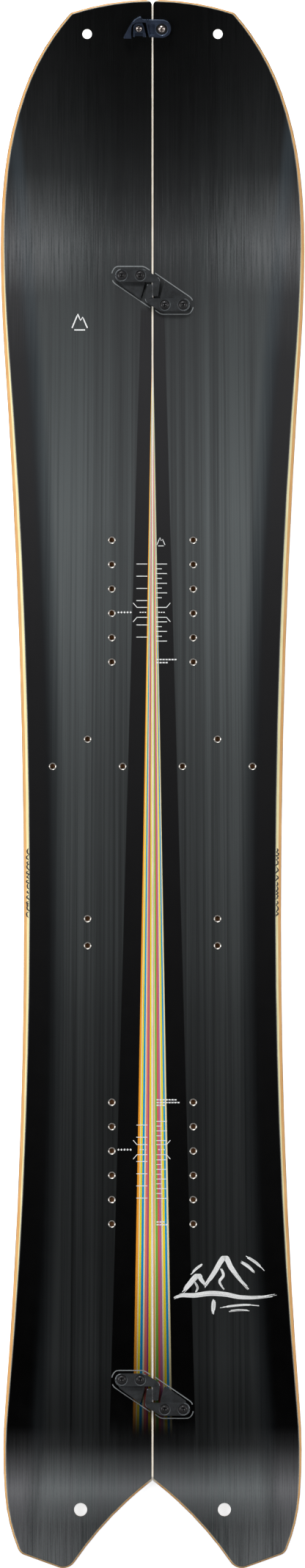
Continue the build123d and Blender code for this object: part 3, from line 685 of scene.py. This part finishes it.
foot_above_base, mouth_below_deck, beside_mouth = 2.2, 0.25, 5.5
bore_reach, bore_end = 3.05, 0.98
binding_x, front_foot, rear_foot = 42.5, 191.7, -394.1
row_offsets = (63.5, 38.1, 12.7, -12.7, -38.1, -63.5)
insert_groups = {"front_binding_inserts": [(binding_x, front_foot + offset) for offset in row_offsets],
                 "rear_binding_inserts": [(binding_x, rear_foot + offset) for offset in row_offsets],
                 "toe_inserts": [(31.2, 19.4), (104.3, 19.4), (67.8, 47.8)],
                 "heel_inserts": [(67.8, -139.3), (67.8, -167.4)]}
for side, turn in (("left", -1), ("right", 1)):
    for group, places in insert_groups.items():
        shape, barrels = bmesh.new(), []
        for x, y in places:
            x *= turn
            foot = belly(x, y) + foot_above_base
            mouth = (deck(x - beside_mouth, y) + deck(x + beside_mouth, y)) / 2 - mouth_below_deck
            lathe(shape, insert_profile(mouth - foot), x, y, foot)
            barrels.append((x, y, foot, mouth))
        inserts = finished(f"{side}_{group}_turned", shape, insert_steel, f"{side}_half",
                           [f"{side}_{group}"], smooth=50.0)
        # the tapped bores get a darker brown finish: painted shade inside the bores
        inserts.data.materials.append(shaded_thread)
        for polygon in inserts.data.polygons:
            centre = polygon.center * 1000.0
            away, foot, mouth = min((math.hypot(centre.x - x, centre.y - y), foot, mouth)
                                    for x, y, foot, mouth in barrels)
            if away < bore_reach and foot + bore_end < centre.z < mouth - bore_end:
                polygon.material_index = 1
for side in ("left", "right"):
    dress(nodes[f"{side}_hook_nuts"], insert_steel)
    dress(nodes[f"{side}_clip_nut"], insert_steel)

# ------------------------------------------------
# Hooks across the seam. Each is cast in aluminium and anodised dark: a bar that takes two screws, a finger
# that hooks over the seam on to the other half, and a low web below the bar. The right one is the left
# turned round.
# ------------------------------------------------


def cast_finish(name, tone, sheen, metallic, rough):
    """Fine-grained anodised casting: a slightly rough skin, polished lighter in random patches of wear."""
    recipe = Recipe(name, metallic=metallic, roughness=rough)
    x, y, z = recipe.place()
    skin = recipe.grain(x, y, z, (3.0, 3.0, 3.0), detail=3.0)
    wear_and_edge_highlight = recipe.grain(x, y, z, (0.12, 0.12, 0.3), detail=4.0)
    mixed = recipe.sum("MULTIPLY_ADD", skin, 0.35, recipe.sum("MULTIPLY", wear_and_edge_highlight, 0.65))
    recipe.colour(recipe.shades(mixed, [(0.35, tone), (0.68, sheen)]))
    recipe.roughness(recipe.ramp(wear_and_edge_highlight, 0.3, 0.7, rough * 1.15, rough * 0.8))
    recipe.bump(skin, 0.3, 0.00006)
    return recipe.material


def rounded(corners):
    """A closed outline from corners given as (x, y, radius)."""
    outline, most_of_side, step_angle = [], 0.49, 0.22
    for i, (x, y, radius) in enumerate(corners):
        here = Vector((x, y))
        back = Vector(corners[i - 1][:2]) - here
        on = Vector(corners[(i + 1) % len(corners)][:2]) - here
        if radius == 0:
            outline.append(here)
            continue
        half = back.angle(on) / 2
        reach = min(radius / math.tan(half), most_of_side * back.length, most_of_side * on.length)
        radius = reach * math.tan(half)
        centre = here + (back.normalized() + on.normalized()).normalized() * radius / math.sin(half)
        first = here + back.normalized() * reach - centre
        last = here + on.normalized() * reach - centre
        start = math.atan2(first.y, first.x)
        sweep = (math.atan2(last.y, last.x) - start + math.pi) % (2 * math.pi) - math.pi
        steps = max(2, int(abs(sweep) / step_angle))
        for k in range(steps + 1):
            angle = start + sweep * k / steps
            outline.append(centre + radius * Vector((math.cos(angle), math.sin(angle))))
    return outline


def plate(outline, floor_at, top_at, soften, segments=4):
    """A plate on a curved floor, its top edges rounded over; floor_at and top_at give heights at x, y."""
    shape = bmesh.new()
    below = [shape.verts.new((x, y, floor_at(x, y))) for x, y in outline]
    above = [shape.verts.new((x, y, top_at(x, y))) for x, y in outline]
    shape.faces.new(below[::-1])
    top = shape.faces.new(above)
    for i in range(len(outline)):
        shape.faces.new((below[i - 1], below[i], above[i], above[i - 1]))
    if soften:
        bmesh.ops.bevel(shape, geom=list(top.edges), offset=soften, segments=segments, profile=0.5,
                        affect="EDGES", clamp_overlap=False)
    return shape


def carved(shape, cutters):
    """The shape with the cutters' shapes taken out of it, all in millimetres."""
    def stand_in(source):
        bmesh.ops.recalc_face_normals(source, faces=source.faces)
        mesh = bpy.data.meshes.new("work_shape")
        source.to_mesh(mesh)
        source.free()
        part = bpy.data.objects.new("work_shape", mesh)
        bpy.context.scene.collection.objects.link(part)
        return part
    work = stand_in(shape)
    tools = [stand_in(cutter) for cutter in cutters]
    for tool in tools:
        modifier = work.modifiers.new("cut", "BOOLEAN")
        modifier.operation, modifier.solver, modifier.object = "DIFFERENCE", "EXACT", tool
    bpy.context.view_layer.update()
    cut = bpy.data.meshes.new_from_object(work.evaluated_get(bpy.context.evaluated_depsgraph_get()))
    result = bmesh.new()
    result.from_mesh(cut)
    spent = [work.data, cut] + [tool.data for tool in tools]
    for part in [work, *tools]:
        bpy.data.objects.remove(part)
    for mesh in spent:
        bpy.data.meshes.remove(mesh)
    return result


def joined(shapes):
    """Several shapes as one."""
    whole = bmesh.new()
    for shape in shapes:
        mesh = bpy.data.meshes.new("work_shape")
        shape.to_mesh(mesh)
        shape.free()
        whole.from_mesh(mesh)
        bpy.data.meshes.remove(mesh)
    return whole


hook_metal = cast_finish("dark_anodised_hook", srgb(44, 45, 46), srgb(76, 79, 82), 0.5, 0.36)
# the lighter finish for the slanting faces of the rounded edges is a painted highlight
hook_edge_highlight = cast_finish("hook_edge_painted_highlight", srgb(84, 88, 91), srgb(132, 137, 141), 0.5, 0.36)
black_steel = cast_finish("black_oxide_screw", srgb(58, 57, 58), srgb(88, 88, 90), 0.75, 0.28)


def countersink(x, y, bar_top):
    """The room for a screw's shank and head, with a small bevel at the top of the bar."""
    shape = bmesh.new()
    lathe(shape, [(0, -8), (2.9, -8), (2.9, -3.4), (5.25, -1.4), (5.3, -1.0), (6.0, 0.0), (6.4, 0.6),
                  (6.4, 2), (0, 2)], x, y, bar_top, 48)
    return shape


def socket_screw(x, y, bar_top):
    """Countersunk screw with a hexagon socket; the heights in its profile are counted from the bar's top."""
    head, socket = bmesh.new(), bmesh.new()
    foot_above_base, sunk = 3.7, 0.4
    foot = belly(x, y) + foot_above_base - bar_top
    lathe(head, [(0, foot), (2.3, foot), (2.5, foot + 0.4), (2.5, -4.0), (2.8, -3.4), (5.0, -1.5),
                 (5.1, -1.2), (4.9, -0.95), (3.6, -0.75), (3.35, -sunk - 0.1), (3.1, -sunk), (2.7, -sunk),
                 (0, -sunk)], x, y, bar_top, 48)
    lathe(socket, [(0, -2.9), (1.0, -2.9), (1.9, -2.5), (1.9, -sunk - 0.2), (2.2, 0.1), (0, 0.1)],
          x, y, bar_top, 6)
    return carved(head, [socket])


hook_height, web_height, bar_softening, web_softening = 5.0, 2.2, 0.95, 0.5
seat_gap, seam_reach, beside_seam = 0.03, 1.0, 1.3
play, passage_width, passage_depth = 0.8, 14, 9
bar_corners = ((-39.2, 21.9, 6.6), (-8.5, 21.9, 9.0), (8.2, 12.0, 5.0), (5.9, -6.1, 1.5), (0.02, -6.1, 1.0),
               (0.02, 8.6, 0.4), (-39.2, 8.6, 6.6))
web_corners = ((-35.5, 9.5, 0.8), (-8.3, 9.5, 0.8), (-8.1, 6.3, 0.8), (-12.4, -8.4, 0.8), (-14.0, -8.4, 0.8),
               (-34.5, 6.5, 0.8))
hook_screws = ((-32.1, 15.4), (-12.8, 15.4))
for name, middle in hook_middles.items():
    for side, turn in (("left", 1), ("right", -1)):
        bar_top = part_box(f"{side}_{name}_hook")[1][2] * 1000.0

        def seat(x, y):
            """Height of the deck under the hook, taken from beside the saw cut where x falls into it."""
            return deck(x if abs(x) > seam_reach else beside_seam * -turn, y) + seat_gap

        def other_deck(x, y):
            """Height of the deck on the other half, just past the seam."""
            return seat(turn * 2, y)

        def turned(corners):
            return [(turn * x, middle + turn * y) for x, y in rounded(corners)]

        bar = plate(turned(bar_corners), seat, lambda x, y: bar_top, bar_softening, 5)
        web_top = bar_top - hook_height + web_height
        web = plate(turned(web_corners), seat, lambda x, y: web_top, web_softening, 3)
        # the finger passes clear over the other half
        stations = [middle + y for y in range(-32, 33, 4)]
        passage = [(turn * -0.1, y) for y in stations] + [(turn * passage_width, y) for y in stations[::-1]]
        passage = plate(passage, lambda x, y: other_deck(x, y) - passage_depth,
                        lambda x, y: other_deck(x, y) + play, 0)
        screw_places = [(turn * x, middle + turn * y) for x, y in hook_screws]
        bar = carved(bar, [passage, *[countersink(x, y, bar_top) for x, y in screw_places]])
        finished(f"{side}_{name}_hook_cast", joined([bar, web]), hook_metal, f"{side}_half",
                 [f"{side}_{name}_hook"], smooth=32.0, wear_and_edge_highlight=hook_edge_highlight)
        screws = joined([socket_screw(x, y, bar_top) for x, y in screw_places])
        finished(f"{side}_{name}_hook_socket_screws", screws, black_steel, f"{side}_half",
                 [f"{side}_{name}_hook_screws"], smooth=32.0)

# ------------------------------------------------
# Nose clip. A flat hook of coated steel turns on a bushed screw in the right half, swings over the seam and
# shuts round a catch plate on the left half. Its edge has a thumb tab with grooves, and it has a pressed
# pocket.
# ------------------------------------------------
clip_coat = cast_finish("blue_grey_coating", srgb(40, 46, 60), srgb(66, 77, 98), 0.4, 0.32)
# the lighter finish for the slanting faces of the rounded edges is a painted highlight
clip_edge_highlight = cast_finish("coating_edge_painted_highlight", srgb(82, 96, 120), srgb(122, 138, 162), 0.5, 0.3)
acetal = cast_finish("black_acetal", srgb(16, 16, 17), srgb(34, 34, 36), 0.0, 0.5)
bright_steel = steel_finish("polished_screw", srgb(196, 184, 178), 0.3, along=(0.5, 0.5, 0.5))
swing = next(joint for joint in frame["joints"] if joint["name"] == "nose_clip_swing")
clip_axis = Vector(swing["axis"]).normalized()
pivot_x = swing["pos_m"][0] * 1000.0
clip_across = Vector((1.0, 0.0, 0.0))
clip_along = clip_axis.cross(clip_across)
clip_place = Matrix.Translation((0.0, swing["pos_m"][1] * 1000.0, swing["pos_m"][2] * 1000.0))
clip_seat = clip_place @ Matrix((clip_across, clip_along, clip_axis)).transposed().to_4x4()


def on_nose(name, shape, material, body, replaced, wear_and_edge_highlight=None):
    """Finishes a shape that was drawn flat, by laying it on the nose."""
    bmesh.ops.transform(shape, matrix=clip_seat, verts=shape.verts)
    return finished(name, shape, material, body, replaced, smooth=32.0, wear_and_edge_highlight=wear_and_edge_highlight)


def disc(radius, low, high, x):
    shape = bmesh.new()
    lathe(shape, [(0, low), (radius, low), (radius, high), (0, high)], x, 0.0, 0.0, 48)
    return shape


def block(corners, low, high):
    return plate(corners, lambda x, y: low, lambda x, y: high, 0)


# heights are counted from the deck; clear_of_all is any height above the clip
clip_low, clip_high, clear_of_all = 1.2, 5.2, 9.0
recess_floor, pocket_depth, clip_bore, arm_softening = clip_high - 1.5, 1.4, 3.55, 0.58
arm_corners = ((pivot_x, 9.6, 0), (-10.0, 10.1, 1.5), (-12.6, 13.4, 1.0), (-19.6, 9.3, 6.0),
               (-24.6, 1.4, 9.0), (-30.3, -9.7, 0.6), (-22.0, -9.9, 0.6), (-22.3, -4.4, 0), (-21.9, 3.4, 3.0),
               (-19.6, 6.6, 3.0), (-15.5, 7.6, 2.0), (-6.9, 7.5, 0.5), (-4.6, -4.4, 1.0), (-3.6, -8.3, 0.8),
               (pivot_x, -8.8, 0))
# the eye round the screw closes the outline on the right
eye_wide, eye_tall, eye_steps = 9.6, 9.2, 24
eye_round = [(pivot_x + eye_wide * math.sin(math.pi * k / eye_steps),
              0.4 - eye_tall * math.cos(math.pi * k / eye_steps)) for k in range(1, eye_steps)]
arm = plate(rounded(arm_corners) + eye_round, lambda x, y: clip_low, lambda x, y: clip_high, arm_softening)
recess = bmesh.new()
lathe(recess, [(0, recess_floor), (6.0, recess_floor), (6.3, clip_high - 1.2), (6.3, clip_high - 0.3),
               (6.7, clip_high + 0.2), (6.7, clear_of_all), (0, clear_of_all)], pivot_x, 0.0, 0.0, 48)
pocket_corners = rounded(((-5.2, 5.6, 0.8), (2.4, 5.6, 0.8), (2.2, -6.2, 0.8), (-3.0, -6.2, 0.8)))
cutters = [recess, disc(clip_bore, 0.0, clear_of_all, pivot_x),
           block(pocket_corners, clip_high - pocket_depth, clear_of_all)]
groove_lean, groove_half_width, groove_half_length = math.radians(-35), 0.38, 1.9
along_x, along_y = -math.sin(groove_lean), math.cos(groove_lean)
for i in range(5):
    groove_x, groove_y = -11.2 + 1.7 * i, 12.6 - 0.65 * i
    cutters.append(block([(groove_x + groove_half_width * u * along_y + groove_half_length * v * along_x,
                           groove_y - groove_half_width * u * along_x + groove_half_length * v * along_y)
                          for u, v in ((-1, -1), (1, -1), (1, 1), (-1, 1))], 0.0, clear_of_all))
on_nose("nose_clip_pressed", carved(arm, cutters), clip_coat, "nose_clip", ["nose_clip_hook"],
        clip_edge_highlight)

catch_x, catch_top, seat_floor, slot_floor, catch_softening = -14.2, 4.0, 2.4, 0.7, 0.6
catch_corners = rounded(((-6.4, -8.4, 0.9), (-9.0, 3.0, 1.5), (-10.8, 6.3, 1.5), (-17.4, 6.3, 2.0),
                         (-19.9, 3.0, 2.0), (-20.3, -8.4, 0.9)))
catch = plate(catch_corners, lambda x, y: 0.0, lambda x, y: catch_top, catch_softening)
slot = block([(catch_x - 4.0, -14.0), (catch_x + 4.0, -14.0), (catch_x + 4.0, -4.0), (catch_x - 4.0, -4.0)],
             slot_floor, clear_of_all)
catch = carved(catch, [disc(4.3, seat_floor, clear_of_all, catch_x), slot,
                       disc(2.05, -1.0, clear_of_all, catch_x)])
on_nose("clip_catch_plate", catch, clip_coat, "left_half", ["left_clip_catch"], clip_edge_highlight)


def cross_screw(x, under_head, foot):
    """Domed stainless screw with a cross recess."""
    radius, dome = 3.9, 2.2
    ball = (radius ** 2 + dome ** 2) / (2 * dome)
    profile = [(0, foot), (1.9, foot), (2.0, foot + 0.3), (2.0, under_head), (radius - 0.1, under_head)]
    dome_steps = 8
    for step in range(dome_steps):
        angle = math.asin(radius / ball) * (1 - step / dome_steps)
        profile.append((ball * math.sin(angle), under_head + dome - ball + ball * math.cos(angle)))
    shape, crown = bmesh.new(), under_head + dome
    lathe(shape, profile + [(0, crown)], x, 0.0, 0.0, 48)
    reach, narrow, recess_depth = 2.3, 0.55, 1.2
    lengthwise = [(-reach, -narrow), (reach, -narrow), (reach, narrow), (-reach, narrow)]
    crosswise = [(-v, u) for u, v in lengthwise]
    return carved(shape, [block([(x + u, v) for u, v in corners], crown - recess_depth, crown + 2)
                          for corners in (lengthwise, crosswise)])


bush_top, screw_foot = recess_floor + 0.3, -2.2
on_nose("pivot_screw_domed", cross_screw(pivot_x, bush_top, screw_foot), bright_steel, "right_half",
        ["right_clip_screw"])
on_nose("catch_screw_domed", cross_screw(catch_x, seat_floor, screw_foot), bright_steel, "left_half",
        ["left_clip_screw"])
bush = bmesh.new()
lathe(bush, [(2.05, 0.0), (5.9, 0.0), (6.0, 0.1), (6.0, 0.8), (5.9, 0.9), (3.5, 0.9), (3.5, bush_top - 0.25),
             (5.8, bush_top - 0.25), (5.9, bush_top - 0.15), (5.8, bush_top), (2.05, bush_top), (2.05, 0.0)],
      pivot_x, 0.0, 0.0, 48)
on_nose("pivot_bush_turned", bush, acetal, "right_half", ["right_clip_bush"])

# ------------------------------------------------
# Studio. A very pale floor, two long softboxes low at the sides and one beyond the nose, a dark ceiling, and
# a camera far above the middle of the board, looking straight down with the nose at the top.
# ------------------------------------------------
floor_reach, floor_gap, floor_glow = 60.0, 0.0004, 0.75
floor_mesh = bpy.data.meshes.new("studio_floor")
floor_mesh.from_pydata([(-floor_reach, -floor_reach, 0), (floor_reach, -floor_reach, 0),
                        (floor_reach, floor_reach, 0), (-floor_reach, floor_reach, 0)], [], [(0, 1, 2, 3)])
floor = bpy.data.objects.new("studio_floor", floor_mesh)
bpy.context.scene.collection.objects.link(floor)
floor.location.z = -floor_gap
floor_paint = Recipe("pale_floor", roughness=0.8, specular=0.1)
floor_x, floor_y, floor_z = floor_paint.place()
floor_cloud = floor_paint.grain(floor_x, floor_y, floor_z, (0.002, 0.002, 0.0))
floor_paint.colour(floor_paint.shades(floor_cloud, [(0.3, srgb(248, 248, 248)), (0.7, srgb(253, 253, 253))]))
floor_paint.shader.inputs["Emission Color"].default_value = (1.0, 1.0, 1.0, 1.0)
floor_paint.shader.inputs["Emission Strength"].default_value = floor_glow
dress(floor, floor_paint.material)


def soft_light(name, place, aim, width, length, power):
    light = bpy.data.lights.new(name, "AREA")
    light.shape = "RECTANGLE"
    light.size, light.size_y, light.energy = width, length, power
    lamp = bpy.data.objects.new(name, light)
    bpy.context.scene.collection.objects.link(lamp)
    lamp.location = place
    lamp.rotation_euler = (Vector(aim) - Vector(place)).to_track_quat("-Z", "Y").to_euler()


soft_light("left_softbox", (-3.2, 0.1, 2.3), (0, 0, 0), 1.3, 4.4, 80)
soft_light("right_softbox", (3.2, 0.1, 2.3), (0, 0, 0), 1.3, 4.4, 62)
soft_light("nose_softbox", (-1.8, 8.0, 4.8), (0, 0, 0), 4.2, 2.0, 780)

world = bpy.data.worlds.new("studio")
bpy.context.scene.world = world
world.use_nodes = True
backdrop = world.node_tree.nodes["Background"]
direction = world.node_tree.nodes.new("ShaderNodeTexCoord")
axes = world.node_tree.nodes.new("ShaderNodeSeparateXYZ")
fade = world.node_tree.nodes.new("ShaderNodeValToRGB")
world.node_tree.links.new(direction.outputs["Generated"], axes.inputs[0])
world.node_tree.links.new(axes.outputs[2], fade.inputs[0])
world.node_tree.links.new(fade.outputs["Color"], backdrop.inputs["Color"])
fade.color_ramp.elements[0].position = 0.12
fade.color_ramp.elements[0].color = (0.62, 0.62, 0.63, 1.0)
fade.color_ramp.elements[1].position = 0.6
fade.color_ramp.elements[1].color = (0.02, 0.02, 0.02, 1.0)

low, high = [Vector(corner) for corner in cad_box]
camera_height, focus_height, nose_rim, tail_rim = 12.0, 0.03, 0.058, 0.024
nose_seen = high.y * (camera_height - focus_height) / (camera_height - nose_rim)
tail_seen = low.y * (camera_height - focus_height) / (camera_height - tail_rim)
camera = bpy.data.cameras.new("overhead_camera")
camera.sensor_fit = "VERTICAL"
camera.sensor_height = 36.0
camera.lens = camera.sensor_height * (camera_height - focus_height) / (nose_seen - tail_seen)
camera.clip_end = 200.0
eye = bpy.data.objects.new("overhead_camera", camera)
bpy.context.scene.collection.objects.link(eye)
eye.location = (0.0, (nose_seen + tail_seen) / 2, camera_height)
bpy.context.scene.camera = eye
bpy.context.scene.view_settings.view_transform = "Standard"
